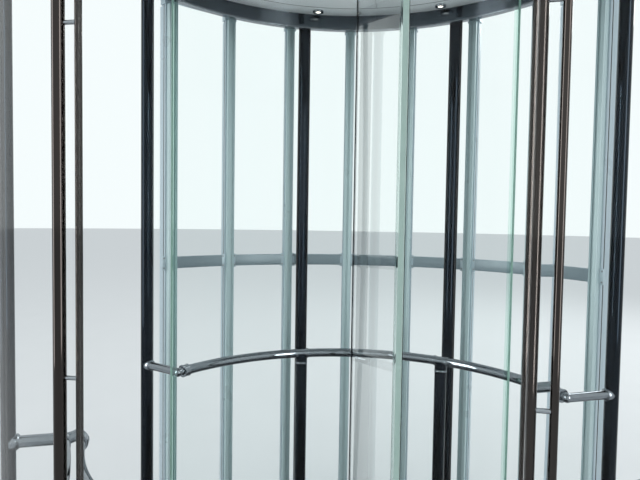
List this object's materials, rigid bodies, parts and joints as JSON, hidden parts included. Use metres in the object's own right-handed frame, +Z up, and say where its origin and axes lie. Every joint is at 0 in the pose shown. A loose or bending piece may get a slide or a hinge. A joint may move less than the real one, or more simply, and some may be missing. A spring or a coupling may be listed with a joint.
{
  "type": "revolving door",
  "caption": "Glass revolving door in a round glass drum, with dark posts, curved guard rails, a dark ring under a polished ceiling and light outer mullions.",
  "frame": {"origin": "on the floor, on the rotor's axis", "axes": "+Z up along the rotor's axis; the passage runs along X; the glazed walls face -Y and +Y"},
  "size_m": [2.5298, 2.5298, 3.015],
  "materials": {
    "glass": "clear float glass, green edges",
    "light_aluminium": "satin anodised",
    "polished_rail": "polished stainless",
    "polished_ceiling": "polished sheet",
    "light_lens": "frosted lens",
    "grey_panel": "ribbed and matt",
    "dark_cladding": "satin dark cladding",
    "dark_polished_steel": "mirror polished, dark"
  },
  "bodies": {
    "drum": {"floor_plate": "grey_panel", "sill_ring": "dark_cladding", "back_left_jamb_post": "dark_polished_steel", "back_left_post": "dark_polished_steel", "back_right_post": "dark_polished_steel", "back_right_jamb_post": "dark_polished_steel", "back_left_pane": "glass", "back_middle_pane": "glass", "back_right_pane": "glass", "back_left_screen": "light_aluminium", "back_middle_screen": "light_aluminium", "back_right_screen": "light_aluminium", "back_beads": "dark_polished_steel", "back_rail": "polished_rail", "back_rail_legs": "dark_polished_steel", "front_left_jamb_post": "dark_polished_steel", "front_left_post": "dark_polished_steel", "front_right_post": "dark_polished_steel", "front_right_jamb_post": "dark_polished_steel", "front_left_pane": "glass", "front_middle_pane": "glass", "front_right_pane": "glass", "front_beads": "dark_polished_steel", "front_rail": "polished_rail", "front_rail_legs": "dark_polished_steel", "ring_band": "dark_polished_steel", "ring_lip": "polished_rail", "ceiling": "polished_ceiling", "ceiling_lights": "light_lens", "head_ring": "light_aluminium", "canopy_fascia": "dark_cladding", "roof": "grey_panel", "roof_drip": "dark_polished_steel", "floor_bearing": "polished_rail", "ceiling_bearing": "polished_rail"},
    "rotor": {"bottom_hub": "dark_polished_steel", "top_hub": "dark_polished_steel", "joint_strip": "dark_polished_steel", "bottom_clamps": "dark_polished_steel", "top_clamps": "dark_polished_steel", "wing_a": "glass", "wing_b": "glass", "wing_c": "glass"}
  },
  "joints": [
    {"name": "rotor_turn", "type": "hinge", "parent": "drum", "child": "rotor", "pos_m": [0, 0, 0.05], "axis": [0, 0, 1], "continuous": true}
  ]
}
